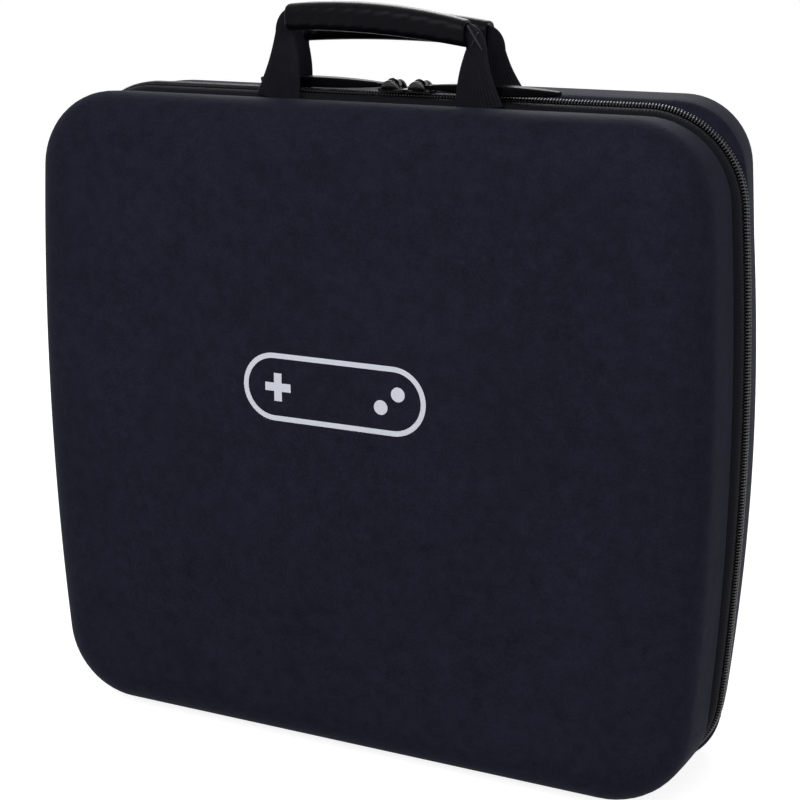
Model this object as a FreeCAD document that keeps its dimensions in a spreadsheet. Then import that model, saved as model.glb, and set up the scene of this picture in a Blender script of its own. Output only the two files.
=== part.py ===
import FreeCAD, Part

import math
import os

import Sketcher

# Console carrying bag: two moulded half shells, zipped together round three sides and hinged with cloth
# along the bottom, with a strap handle on each half. Millimetres. X runs along the bag's width, Y from
# its front to its back and Z up. The bag stands on Z 0, with the origin under the middle of its box.

# Driving dimensions. An inset, taper or gap is measured at right angles to the outline that it is on.
SIZES = {
    # Outline of the zip chain, seen from the front: its width where the sides leave the corners, and how far
    # the sides bow out from there at half height
    "zip_width": 361,
    "zip_top": 332,
    "zip_bottom": 2,
    "zip_corner": 48,
    "side_bow": 5,
    # Half shells: depth from the zip's plane to the flat face, how far the sides and the top lie inside the
    # zip's line at the rim, and how far each of these and the underside leans in from there to the face
    "front_depth": 61,
    "rear_depth": 61,
    "front_inset": 4,
    "rear_inset": 4.5,
    "front_top_inset": 4,
    "rear_top_inset": -1.6,
    "front_taper": 3,
    "rear_taper": 9,
    "front_top_taper": -4,
    "rear_top_taper": 1.5,
    "front_sole_taper": 3,
    "rear_sole_taper": 0,
    "front_corner": 41,
    "rear_corner": 34,
    "front_edge": 24,
    "rear_edge": 20,
    "sole_trim": 0.1,
    "shell_wall": 5,
    "rim_round": 1.6,
    "rim_offset": 11,
    # Zip: tape, chain, its two ends and the cloth hinge between them
    "tape_thickness": 1.2,
    "tape_flat": 3.2,
    "tape_bow": 6,
    "coil_gap": 0.7,
    "coil_width": 2.1,
    "coil_rise": 0.5,
    "coil_height": 2.4,
    "coil_round": 0.8,
    "hinge_setback": 18,
    "hinge_thickness": 1,
    "hinge_lift": 0.6,
    "end_tab_length": 7.4,
    "end_tab_width": 8,
    "binding_width": 3,
    "binding_depth": 2.5,
    # Zip sliders, measured from the nose, and their pulls, measured from the bail
    "slider_meet": 10,
    "slider_length": 14,
    "slider_nose_width": 8,
    "slider_shoulder": 3,
    "slider_shoulder_width": 10.8,
    "slider_tail_width": 8.4,
    "slider_plate": 1.4,
    "slider_keel": 1.2,
    "slider_round": 1.1,
    "slider_edge": 0.4,
    "post_start": 0.8,
    "post_length": 3.2,
    "post_thickness": 0.8,
    "bail_inner": 2,
    "bail_wall": 1.6,
    "bail_width": 2.8,
    "left_pull_skew": 2,
    "right_pull_skew": 6,
    "pull_length": 75,
    "pull_eye_length": 8,
    "pull_eye_width": 6.8,
    "pull_eye_thickness": 2,
    "pull_eye_wall": 1.5,
    "pull_slot_length": 4.6,
    "pull_neck_width": 5,
    "pull_neck_thickness": 2.2,
    "pull_leaf_width": 7,
    "pull_leaf_thickness": 4,
    "pull_leaf_start": 20,
    "pull_leaf_end": 62,
    "pull_tip_width": 4,
    "pull_tip_thickness": 2.2,
    "pull_round": 0.9,
    # Carrying handles: a folded strap on each half, through a moulded grip
    "strap_spread": 54.5,
    "strap_width": 25,
    "strap_top_width": 9,
    "strap_thickness": 2.4,
    "strap_offset": 12.2,
    "strap_lean": 3,
    "strap_corner": 3,
    "grip_half_length": 44,
    "front_grip_left": 39,
    "front_grip_middle": 39,
    "front_grip_right": 34.2,
    "rear_grip_left": 27.7,
    "rear_grip_middle": 30,
    "rear_grip_right": 29,
    "grip_height": 14.5,
    "grip_depth": 14,
    "grip_end_height": 12.6,
    "grip_end_depth": 11.5,
    "grip_round": 5,
    # Inside: hold-down straps in the rear half and a mesh pocket in the front half
    "hold_spread": 70,
    "hold_width": 38,
    "hold_thickness": 1.6,
    "hold_bottom": 36,
    "hold_lower_length": 150,
    "hold_upper_length": 140,
    "hold_overlap": 45,
    "pocket_width": 250,
    "pocket_height": 185,
    "pocket_bottom": 36,
    "pocket_thickness": 0.8,
    "hem_height": 12,
    "hem_thickness": 2,
    # Fits
    "seat": 0.3,
    "slider_play": 0.3,
    "slot_play": 0.3,
    "eye_play": 0.4,
}

doc = FreeCAD.newDocument("carrying_bag")
sheet = doc.addObject("Spreadsheet::Sheet", "sizes")
for row, (alias, number) in enumerate(SIZES.items(), start=1):
    sheet.set(f"A{row}", alias)
    sheet.set(f"B{row}", str(number))
    sheet.setAlias(f"B{row}", alias)
doc.recompute()


class Size:
    """A number together with the sheet formula that gives it, so that each rule is written once."""

    def __init__(self, value, formula):
        self.value = value
        self.formula = formula

    def __add__(self, other):
        other = size(other)
        return Size(self.value + other.value, f"({self.formula} + {other.formula})")

    def __sub__(self, other):
        other = size(other)
        return Size(self.value - other.value, f"({self.formula} - {other.formula})")

    def __mul__(self, other):
        other = size(other)
        return Size(self.value * other.value, f"({self.formula} * {other.formula})")

    def __truediv__(self, other):
        other = size(other)
        return Size(self.value / other.value, f"({self.formula} / {other.formula})")

    def __neg__(self):
        return Size(-self.value, f"(-1 * {self.formula})")


def size(item):
    """The Size of a sheet alias, of a plain number, or of what is one already."""
    if isinstance(item, Size):
        return item
    if isinstance(item, str):
        return Size(SIZES[item], f"sizes.{item}")
    return Size(item, str(item))


def bind(item, name, rule):
    """Tie a property of a document object to its rule in the sheet."""
    item.setExpression(name, size(rule).formula)


# The shared lines of the bag, each worked out once. Deck and keel are the slider's plates, over and under
# the chain, and the bail's centre is what a pull swings about.
ZIP_Y = (size("front_depth") - "rear_depth") / 2
HALF_WIDTH = size("zip_width") / 2
HINGE_END = HALF_WIDTH - "zip_corner" - "hinge_setback"
TAPE_END = HINGE_END + "end_tab_length" + size("seat") * 2
COIL_SEAT = size("coil_rise") - "coil_height"
DECK = size("coil_rise") + "slider_play"
KEEL = COIL_SEAT - "tape_thickness" - "slider_play"
BAIL_X = size("slider_length") / 2
BAIL_Z = DECK + "slider_plate" + "eye_play" + size("pull_eye_thickness") / 2
FRONT, REAR = -1, 1
LEFT, RIGHT = -1, 1
ORIGIN = (-1, 1)
pieces = []


def body_at(label, x=0, y=ZIP_Y, z=0, kind="PartDesign::Body"):
    """An object whose own origin lies at the given place, by default in the zip's plane."""
    item = doc.addObject(kind, label)
    item.Label = label
    for axis, rule in zip("xyz", (x, y, z)):
        bind(item, f"Placement.Base.{axis}", rule)
    return item


def piece(label, x=0, y=ZIP_Y, z=0, kind="PartDesign::Body"):
    """A named sub-part, in its own frame."""
    item = body_at(label, x, y, z, kind)
    pieces.append(item)
    return item


def turn(item, axis, rule):
    """Turn a sub-part about an axis of its own."""
    item.Placement = FreeCAD.Placement(item.Placement.Base, FreeCAD.Rotation(axis, size(rule).value))
    bind(item, "Placement.Rotation.Angle", rule)


def sketch_on(owner, role, offset, name):
    """An empty sketch on one of a body's own planes, moved along that plane's normal."""
    sketch = owner.newObject("Sketcher::SketchObject", f"{owner.Label}_{name}")
    plane = next(item for item in owner.Origin.OriginFeatures if item.Role == role)
    sketch.AttachmentSupport = [(plane, "")]
    sketch.MapMode = "FlatFace"
    bind(sketch, "AttachmentOffset.Base.z", offset)
    return sketch


def arc_between(first, last, radius, way):
    """An arc no longer than a half turn from first to last, counter-clockwise where way is 1."""
    chord = last - first
    rise = math.sqrt(max(radius ** 2 - (chord.Length / 2) ** 2, 0))
    left = FreeCAD.Vector(-chord.y, chord.x, 0).normalize()
    centre = (first + last) / 2 + left * rise * way
    ends = [math.atan2(point.y - centre.y, point.x - centre.x) for point in (first, last)]
    circle = Part.Circle(centre, FreeCAD.Vector(0, 0, 1), radius)
    return Part.ArcOfCircle(circle, *ends[::way])


def draw(sketch, points, arcs=None, closed=True):
    """Draw lines through points, with arcs {index: (radius, way)} in place of some, all tied to the sheet."""
    arcs = arcs or {}
    points = [(size(x), size(y)) for x, y in points]
    places = [FreeCAD.Vector(x.value, y.value, 0) for x, y in points]
    ends = []
    for index in range(len(points) if closed else len(points) - 1):
        first, last = places[index], places[(index + 1) % len(points)]
        if index in arcs:
            radius, way = arcs[index]
            edge = sketch.addGeometry(arc_between(first, last, size(radius).value, way))
            ends.append(((edge, 1), (edge, 2)) if way == 1 else ((edge, 2), (edge, 1)))
            tie(sketch, Sketcher.Constraint("Radius", edge, size(radius).value), radius)
        else:
            edge = sketch.addGeometry(Part.LineSegment(first, last))
            ends.append(((edge, 1), (edge, 2)))
    for index, (before, after) in enumerate(zip(ends, ends[1:] + ends[:1])):
        if closed or index < len(ends) - 1:
            sketch.addConstraint(Sketcher.Constraint("Coincident", *before[1], *after[0]))
    corners = [start for start, _ in ends] + ([] if closed else [ends[-1][1]])
    for corner, (x, y) in zip(corners, points):
        tie(sketch, Sketcher.Constraint("DistanceX", *ORIGIN, *corner, x.value), x)
        tie(sketch, Sketcher.Constraint("DistanceY", *ORIGIN, *corner, y.value), y)


def tie(sketch, constraint, rule):
    """Add a measured constraint and tie its measure to the sheet."""
    index = sketch.addConstraint(constraint)
    bind(sketch, f"Constraints[{index}]", rule)


def draw_rounded(sketch, half_width, bottom, top, radius):
    """A rectangle with rounded corners, level about the sketch's upright axis."""
    half_width, bottom, top, radius = (size(item) for item in (half_width, bottom, top, radius))
    inner = half_width - radius
    points = [(-inner, bottom), (inner, bottom), (half_width, bottom + radius), (half_width, top - radius),
              (inner, top), (-inner, top), (-half_width, top - radius), (-half_width, bottom + radius)]
    draw(sketch, points, {index: (radius, 1) for index in (1, 3, 5, 7)})


def bowed_side(bottom, top, radius):
    """How a bowed side runs between two corners: where it leaves them, past their centres, and its radius."""
    straight = (top - bottom) / 2 - radius
    slope = size("side_bow") / straight
    whole = slope * slope + 1
    out = radius * (size(1) - slope * slope) / whole
    past = radius * slope * 2 / whole
    return out, past, radius + straight * whole / (slope * 2)


def draw_bowed(sketch, half_width, bottom, top, radius):
    """A rounded rectangle like the bag's outline, whose two sides bow out between the corners."""
    half_width, bottom, top, radius = (size(item) for item in (half_width, bottom, top, radius))
    inner = half_width - radius
    out, past, sweep = bowed_side(bottom, top, radius)
    low, high = bottom + radius - past, top - radius + past
    points = [(-inner, bottom), (inner, bottom), (inner + out, low), (inner + out, high),
              (inner, top), (-inner, top), (-inner - out, high), (-inner - out, low)]
    arcs = {index: (radius, 1) for index in (1, 3, 5, 7)}
    arcs.update({index: (sweep, 1) for index in (2, 6)})
    draw(sketch, points, arcs)


def draw_box(sketch, half_width, bottom, top):
    """A plain rectangle, level about the sketch's upright axis."""
    half_width = size(half_width)
    draw(sketch, [(-half_width, bottom), (half_width, bottom), (half_width, top), (-half_width, top)])


def pad(owner, sketch, length):
    item = owner.newObject("PartDesign::Pad", f"{sketch.Name}_pad")
    item.Profile = sketch
    bind(item, "Length", length)
    return item


def loft(owner, kind, sketches, ruled):
    item = owner.newObject(f"PartDesign::{kind}", f"{sketches[0].Name}_loft")
    item.Profile = sketches[0]
    item.Sections = list(sketches[1:])
    item.Ruled = ruled
    return item


def fillet(owner, feature, names, radius, name):
    item = owner.newObject("PartDesign::Fillet", f"{owner.Label}_{name}")
    item.Base = (feature, names)
    bind(item, "Radius", radius)
    return item


def edge_names(shape, wanted):
    """The names of those edges of a shape that a test picks."""
    return [f"Edge{number}" for number, edge in enumerate(shape.Edges, start=1) if wanted(edge)]


def lies_at(edge, axis, place):
    """Whether an edge lies whole in the plane where one axis has the given value."""
    box = edge.BoundBox
    low, high = getattr(box, f"{axis}Min"), getattr(box, f"{axis}Max")
    return max(abs(low - place), abs(high - place)) < 0.001


def cut_from(label, base, tool):
    """The base with the tool taken away."""
    item = doc.addObject("Part::Cut", label)
    item.Label = label
    item.Base = base
    item.Tool = tool
    return item


def half_block(label, half, wall):
    """A half of the bag as a solid block, drawn in from its outside by a wall, with a rounded face edge."""
    side = "front" if half == FRONT else "rear"
    body = body_at(label)
    depth = size(f"{side}_depth") - wall
    sections = []
    for name, reach, share in (("rim", size("rim_offset"), 0), ("face", depth, 1)):
        section = sketch_on(body, "XZ_Plane", reach * -half, name)
        half_width = HALF_WIDTH - f"{side}_inset" - size(f"{side}_taper") * share - wall
        top = size("zip_top") - f"{side}_top_inset" - size(f"{side}_top_taper") * share - wall
        bottom = size(f"{side}_sole_taper") * share - "sole_trim" + wall
        draw_bowed(section, half_width, bottom, top, size(f"{side}_corner") - wall)
        sections.append(section)
    block = loft(body, "AdditiveLoft", sections[::-half], True)
    doc.recompute()
    face_edges = edge_names(block.Shape, lambda item: lies_at(item, "Y", half * depth.value))
    fillet(body, block, face_edges, size(f"{side}_edge") - wall, "face_edge")
    return body


def shell(label, half):
    """A moulded half of the bag: hollow, open at its rolled rim, and trimmed level where it stands."""
    block = half_block(f"{label}_block", half, size(0))
    doc.recompute()
    rim_y = half * SIZES["rim_offset"]
    rim_edges = edge_names(block.Tip.Shape, lambda item: lies_at(item, "Y", rim_y))
    fillet(block, block.Tip, rim_edges, "rim_round", "rim_edge")
    sole = body_at(f"{label}_sole", -HALF_WIDTH, ZIP_Y - "front_depth", -size("sole_trim") * 2, "Part::Box")
    bind(sole, "Length", "zip_width")
    bind(sole, "Width", size("front_depth") + "rear_depth")
    bind(sole, "Height", size("sole_trim") * 2)
    trimmed = cut_from(f"{label}_trimmed", block, sole)
    pieces.append(cut_from(label, trimmed, half_block(f"{label}_hollow", half, size("shell_wall"))))


def zip_path(body):
    """The zip's line: up one side, along the top and down the other, with its ends under the bag."""
    sketch = sketch_on(body, "XZ_Plane", 0, "path")
    corner, bottom, top = size("zip_corner"), size("zip_bottom"), size("zip_top")
    inner = HALF_WIDTH - corner
    out, past, sweep = bowed_side(bottom, top, corner)
    side, low, high = inner + out, bottom + corner - past, top - corner + past
    points = [(-TAPE_END, bottom), (-inner, bottom), (-side, low), (-side, high), (-inner, top),
              (inner, top), (side, high), (side, low), (inner, bottom), (TAPE_END, bottom)]
    arcs = {index: (corner, -1) for index in (1, 3, 5, 7)}
    arcs.update({index: (sweep, -1) for index in (2, 6)})
    draw(sketch, points, arcs, closed=False)
    return sketch


def along_zip(label, half, profile, arcs):
    """Sweep a section, given as (distance from the zip's plane, height over its line), along the zip."""
    body = piece(label)
    path = zip_path(body)
    section = sketch_on(body, "YZ_Plane", -TAPE_END, "section")
    points = [(size(across) * half, size("zip_bottom") - height) for across, height in profile]
    draw(section, points, {index: (radius, way * half) for index, (radius, way) in arcs.items()})
    pipe = body.newObject("PartDesign::AdditivePipe", f"{label}_pipe")
    pipe.Profile = section
    pipe.Spine = (path, [f"Edge{number + 1}" for number in range(path.GeometryCount)])
    pipe.Mode = "Standard"


def tape_edge_height(half):
    """Height of the tape's outer edge over the zip's line, just under the shell's rim."""
    return -(size("front_inset" if half == FRONT else "rear_inset") + "seat")


def zip_tape(label, half):
    """A tape that lies flat under its row of teeth and bows out before it meets the shell's rim."""
    thickness, gap, flat = size("tape_thickness"), size("coil_gap"), size("tape_flat")
    edge = size("rim_offset") - "seat"
    edge_height = tape_edge_height(half)
    profile = [(gap, COIL_SEAT), (flat, COIL_SEAT), (edge, edge_height), (edge, edge_height - thickness),
               (flat, COIL_SEAT - thickness), (gap, COIL_SEAT - thickness)]
    along_zip(label, half, profile, {1: ("tape_bow", 1), 3: ("tape_bow", -1)})


def zip_coil(label, half):
    """One row of the chain, as the ridge that its teeth fill."""
    near, rounding, rise = size("coil_gap"), size("coil_round"), size("coil_rise")
    far = near + "coil_width"
    profile = [(near, COIL_SEAT), (near, rise - rounding), (near + rounding, rise), (far - rounding, rise),
               (far, rise - rounding), (far, COIL_SEAT)]
    along_zip(label, half, profile, {1: (rounding, 1), 3: (rounding, 1)})


def seam_binding(label, half):
    """The binding under the tape's outer edge, where the tape is sewn to the shell's rim."""
    far = size("rim_offset") - "seat"
    near = far - "binding_depth"
    top = tape_edge_height(half) - "tape_thickness" - "seat"
    bottom = top - "binding_width"
    along_zip(label, half, [(near, bottom), (near, top), (far, top), (far, bottom)], {})


def plate(label, length, width, height, x, y, z):
    """A flat strip with its corner at the given place, measured from the zip's plane."""
    item = piece(label, x, ZIP_Y + y, z, "Part::Box")
    for name, rule in (("Length", length), ("Width", width), ("Height", height)):
        bind(item, name, rule)


def hinge():
    """The cloth that joins the two rims under the bag, and the tabs where the zip ends on it."""
    reach = size("rim_offset") - "seat"
    plate("hinge_cloth", HINGE_END * 2, reach * 2, "hinge_thickness", -HINGE_END, -reach, "hinge_lift")
    low = size("zip_bottom") - "coil_rise"
    height = size("coil_height") + "tape_thickness"
    for label, x in (("left_zip_end", -(HINGE_END + "seat" + "end_tab_length")),
                     ("right_zip_end", HINGE_END + "seat")):
        plate(label, "end_tab_length", "end_tab_width", height, x, size("end_tab_width") / -2, low)


def slider(label, hand):
    """A zip slider: two plates over and under the chain, the post between them and a bail on top."""
    nose = size("slider_meet") + size("slider_play") / 2 * hand
    body = piece(label, nose, ZIP_Y, "zip_top")
    turn(body, FreeCAD.Vector(0, 0, 1), 0 if hand == RIGHT else 180)
    halves = [(0, size("slider_nose_width") / 2), ("slider_shoulder", size("slider_shoulder_width") / 2),
              ("slider_length", size("slider_tail_width") / 2)]
    outline = [(x, -half) for x, half in halves] + [(x, half) for x, half in reversed(halves)]
    deck = sketch_on(body, "XY_Plane", DECK, "deck")
    draw(deck, outline)
    deck_plate = pad(body, deck, "slider_plate")
    doc.recompute()
    upright = edge_names(deck_plate.Shape, lambda item: item.BoundBox.ZLength > SIZES["slider_plate"] / 2)
    rounded = fillet(body, deck_plate, upright, "slider_round", "corners")
    doc.recompute()
    deck_top = (DECK + "slider_plate").value
    deck_rim = edge_names(rounded.Shape, lambda item: lies_at(item, "Z", deck_top))
    fillet(body, rounded, deck_rim, "slider_edge", "deck_edge")
    post = sketch_on(body, "XY_Plane", KEEL, "post")
    start, half = size("post_start"), size("post_thickness") / 2
    end = start + "post_length"
    draw(post, [(start, -half), (end, -half), (end, half), (start, half)])
    pad(body, post, DECK - KEEL)
    keel = sketch_on(body, "XY_Plane", KEEL - "slider_keel", "keel")
    draw(keel, outline)
    pad(body, keel, "slider_keel")
    bail = sketch_on(body, "XZ_Plane", size("bail_width") / -2, "bail")
    inner, outer = size("bail_inner"), size("bail_inner") + "bail_wall"
    foot = DECK + "slider_edge"
    draw(bail, [(BAIL_X - outer, foot), (BAIL_X - inner, foot), (BAIL_X - inner, BAIL_Z),
                (BAIL_X, BAIL_Z + inner), (BAIL_X + inner, BAIL_Z), (BAIL_X + inner, foot),
                (BAIL_X + outer, foot), (BAIL_X + outer, BAIL_Z), (BAIL_X, BAIL_Z + outer),
                (BAIL_X - outer, BAIL_Z)],
         {2: (inner, -1), 3: (inner, -1), 7: (outer, 1), 8: (outer, 1)})
    pad(body, bail, "bail_width")


def pull(label, hand):
    """A zip pull: a flat eye round the slider's bail and a long moulded leaf that lies along the zip."""
    nose = size("slider_meet") + size("slider_play") / 2 * hand
    body = piece(label, nose + BAIL_X * hand, ZIP_Y, size("zip_top") + BAIL_Z)
    angle = -size("right_pull_skew") if hand == RIGHT else size(180) - "left_pull_skew"
    turn(body, FreeCAD.Vector(0, 0, 1), angle)
    thickness, wall = size("pull_eye_thickness"), size("pull_eye_wall")
    eye = sketch_on(body, "XY_Plane", thickness / -2, "eye")
    bar, half = thickness / 2, size("pull_eye_width") / 2
    slot_end = bar + "pull_slot_length"
    for start, end, reach in ((-bar, size("pull_eye_length"), half), (bar, slot_end, half - wall)):
        draw(eye, [(start, -reach), (end, -reach), (end, reach), (start, reach)])
    eye_plate = pad(body, eye, thickness)
    doc.recompute()
    corners = edge_names(eye_plate.Shape, lambda item: item.BoundBox.ZLength > thickness.value / 2
                         and item.BoundBox.XMin < 0)
    fillet(body, eye_plate, corners, "pull_round", "eye_corners")
    stations = [("neck", slot_end + wall / 2, "pull_neck_width", "pull_neck_thickness"),
                ("start", "pull_leaf_start", "pull_leaf_width", "pull_leaf_thickness"),
                ("end", "pull_leaf_end", "pull_leaf_width", "pull_leaf_thickness"),
                ("tip", "pull_length", "pull_tip_width", "pull_tip_thickness")]
    sections = []
    for name, x, width, depth in stations:
        section = sketch_on(body, "YZ_Plane", x, name)
        draw_rounded(section, size(width) / 2, size(depth) / -2, size(depth) / 2, "pull_round")
        sections.append(section)
    loft(body, "AdditiveLoft", sections, False)


def handle_frame(label, half):
    """A sub-part of a handle, in a frame that stands on the shell's rim and leans away from the zip."""
    side = "front" if half == FRONT else "rear"
    base = size("zip_top") - f"{side}_top_inset" + "seat"
    body = piece(label, 0, ZIP_Y + size("strap_offset") * half, base)
    turn(body, FreeCAD.Vector(1, 0, 0), size("strap_lean") * -half)
    return body


def grip_heights(half):
    """Heights of a grip's line over its rim at the left end, the middle and the right end."""
    side = "front" if half == FRONT else "rear"
    return [size(f"{side}_grip_{place}") for place in ("left", "middle", "right")]


def handle_strap(label, half):
    """A strap cut as one flat arch: two legs that narrow as they fold, and the run through the grip."""
    body = handle_frame(label, half)
    left, middle, right = grip_heights(half)
    wide, narrow = size("strap_width") / 2, size("strap_top_width") / 2
    grip_end = size("grip_half_length")
    inner = grip_end + "seat"
    outer = inner + "strap_top_width"
    spread, corner = size("strap_spread"), size("strap_corner")
    sketch = sketch_on(body, "XZ_Plane", size("strap_thickness") / -2, "arch")
    draw(sketch, [(-(spread + wide), 0), (-(spread - wide), 0), (-inner, left - narrow), (0, middle - narrow),
                  (inner, right - narrow), (spread - wide, 0), (spread + wide, 0), (outer, right - narrow),
                  (outer - corner, right + narrow), (grip_end, right + narrow), (0, middle + narrow),
                  (-grip_end, left + narrow), (corner - outer, left + narrow), (-outer, left - narrow)])
    pad(body, sketch, "strap_thickness")


def handle_grip(label, half):
    """A moulded sleeve, fuller in the middle than at its ends, with a slot right through for the strap."""
    body = handle_frame(label, half)
    reach = size("grip_half_length")
    middle_size, end_size = ("grip_height", "grip_depth"), ("grip_end_height", "grip_end_depth")
    outside, slot = [], []
    play, narrow = size("slot_play"), size("strap_top_width") / 2
    for name, x, level, (height, depth) in zip(("left", "middle", "right"), (-reach, 0, reach),
                                               grip_heights(half), (end_size, middle_size, end_size)):
        section = sketch_on(body, "YZ_Plane", x, name)
        half_depth, half_height = size(depth) / 2, size(height) / 2
        draw_rounded(section, half_depth, level - half_height, level + half_height, "grip_round")
        outside.append(section)
        hole = sketch_on(body, "YZ_Plane", x, f"{name}_slot")
        draw_box(hole, size("strap_thickness") / 2 + play, level - narrow - play, level + narrow + play)
        slot.append(hole)
    loft(body, "AdditiveLoft", outside, False)
    loft(body, "SubtractiveLoft", slot, True)


def hold_down_straps():
    """Two straps against the rear half's floor, each a lower strip with an upper one lapped over it."""
    width, thickness, bottom = size("hold_width"), size("hold_thickness"), size("hold_bottom")
    lower_y = size("rear_depth") - "shell_wall" - "seat" - thickness
    upper_y = lower_y - thickness
    upper_z = bottom + "hold_lower_length" - "hold_overlap"
    for name, hand in (("left", LEFT), ("right", RIGHT)):
        x = size("hold_spread") * hand - width / 2
        plate(f"{name}_hold_strap_lower", width, thickness, "hold_lower_length", x, lower_y, bottom)
        plate(f"{name}_hold_strap_upper", width, thickness, "hold_upper_length", x, upper_y, upper_z)


def lid_pocket():
    """A mesh pocket against the front half's floor, with an elastic hem along its mouth."""
    width, height = size("pocket_width"), size("pocket_height")
    floor_y = size("shell_wall") - "front_depth" + "seat"
    bottom = size("pocket_bottom")
    plate("pocket_mesh", width, "pocket_thickness", height, width / -2, floor_y, bottom)
    plate("pocket_hem", width, "hem_thickness", "hem_height", width / -2, floor_y, bottom + height)


for side_name, side in (("front", FRONT), ("rear", REAR)):
    shell(f"{side_name}_shell", side)
    zip_tape(f"{side_name}_zip_tape", side)
    zip_coil(f"{side_name}_zip_coil", side)
    seam_binding(f"{side_name}_seam_binding", side)
    handle_strap(f"{side_name}_handle_strap", side)
    handle_grip(f"{side_name}_handle_grip", side)
hinge()
for hand_name, side in (("left", LEFT), ("right", RIGHT)):
    slider(f"{hand_name}_slider", side)
    pull(f"{hand_name}_pull", side)
hold_down_straps()
lid_pocket()
doc.recompute()

# Every object has to be sound before anything is written
for item in doc.Objects:
    if "Invalid" in item.State or "Error" in item.State:
        raise RuntimeError(f"{item.Name} failed: {item.State} {item.getStatusString()}")
for item in pieces:
    if item.Shape.isNull() or not item.Shape.isValid() or len(item.Shape.Solids) != 1:
        raise RuntimeError(f"{item.Label} is not one valid solid")
os.makedirs("parts", exist_ok=True)
for item in pieces:
    item.Shape.exportStep(f"parts/{item.Label}.step")
    print(item.Label, round(item.Shape.Volume, 1))
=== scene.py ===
import math

import bmesh
import bpy
import numpy as np
from mathutils import Matrix, Vector


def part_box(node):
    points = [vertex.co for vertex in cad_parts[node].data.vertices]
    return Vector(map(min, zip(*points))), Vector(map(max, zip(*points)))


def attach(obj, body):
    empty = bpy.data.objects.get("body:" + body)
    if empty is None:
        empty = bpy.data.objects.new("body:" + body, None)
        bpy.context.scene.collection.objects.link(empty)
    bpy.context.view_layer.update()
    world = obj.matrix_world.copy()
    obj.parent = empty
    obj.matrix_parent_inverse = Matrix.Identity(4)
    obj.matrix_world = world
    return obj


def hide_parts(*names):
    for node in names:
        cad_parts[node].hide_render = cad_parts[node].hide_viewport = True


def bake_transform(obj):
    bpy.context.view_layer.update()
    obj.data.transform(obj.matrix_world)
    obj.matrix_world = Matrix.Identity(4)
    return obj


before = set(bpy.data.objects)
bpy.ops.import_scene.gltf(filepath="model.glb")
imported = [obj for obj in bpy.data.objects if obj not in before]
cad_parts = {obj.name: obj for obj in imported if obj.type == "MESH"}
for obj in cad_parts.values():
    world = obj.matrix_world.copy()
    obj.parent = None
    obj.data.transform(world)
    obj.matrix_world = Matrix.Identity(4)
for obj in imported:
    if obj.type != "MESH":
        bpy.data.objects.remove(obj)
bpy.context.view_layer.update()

# Sizes are in millimetres, in the part's own frame, and become metres when a mesh is made.
MM = 0.001
FRONT, REAR = -1, 1
LEFT, RIGHT = -1, 1
BODY = {FRONT: "lid", REAR: "base"}
SIDE = {FRONT: "front", REAR: "rear"}

# The form of the two halves and the zip, with the values of the part's source.
ZIP_Y = 0.0
HALF_WIDTH, TOP, BOTTOM, CORNER = 180.5, 332.0, 2.0, 48.0
SIDE_BOW = 5.0
TAPE_END = 122.5
RIM = 11.0
DEPTH = {FRONT: 61.0, REAR: 61.0}
INSET = {FRONT: 4.0, REAR: 4.5}
TOP_INSET = {FRONT: 4.0, REAR: -1.6}
TAPER = {FRONT: 3.0, REAR: 9.0}
TOP_TAPER = {FRONT: -4.0, REAR: 1.5}
SOLE_TAPER = {FRONT: 3.0, REAR: 0.0}
SHELL_CORNER = {FRONT: 41.0, REAR: 34.0}
EDGE = {FRONT: 24.0, REAR: 20.0}
WALL = 5.0

# The handles as they hang in the photograph.
STRAP_OFFSET, STRAP_LEAN, STRAP_LIFT = 12.2, 3.0, 0.3
STRAP_FOOT = {(FRONT, LEFT): 55.0, (FRONT, RIGHT): 53.5, (REAR, LEFT): 62.0, (REAR, RIGHT): 56.5}
STRAP_FOOT_LEVEL = {FRONT: -2.0, REAR: -7.0}
STRAP_WIDTH, FOLDED_WIDTH, GRIPPED_WIDTH = 25.0, 10.4, 9.4
GRIP_HEIGHTS = {FRONT: (39.8, 40.0, 34.8), REAR: (27.5, 29.4, 26.8)}
GRIP_HALF = 44.0
GRIP_END = {(FRONT, LEFT): 46.5, (FRONT, RIGHT): 48.0, (REAR, LEFT): 52.0, (REAR, RIGHT): 47.5}

# Blender's wave texture turns by this many radians per unit; a thread is half a wave.
WAVE_RATE = 20
# The sockets of a Mix node that is set to colours.
MIX_INPUTS, MIX_RESULT = (0, 6, 7), 2
# The materials of a piece, by their number on it.
OUTSIDE, LINED = 0, 1
BASE, SEWN = 0, 1


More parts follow.
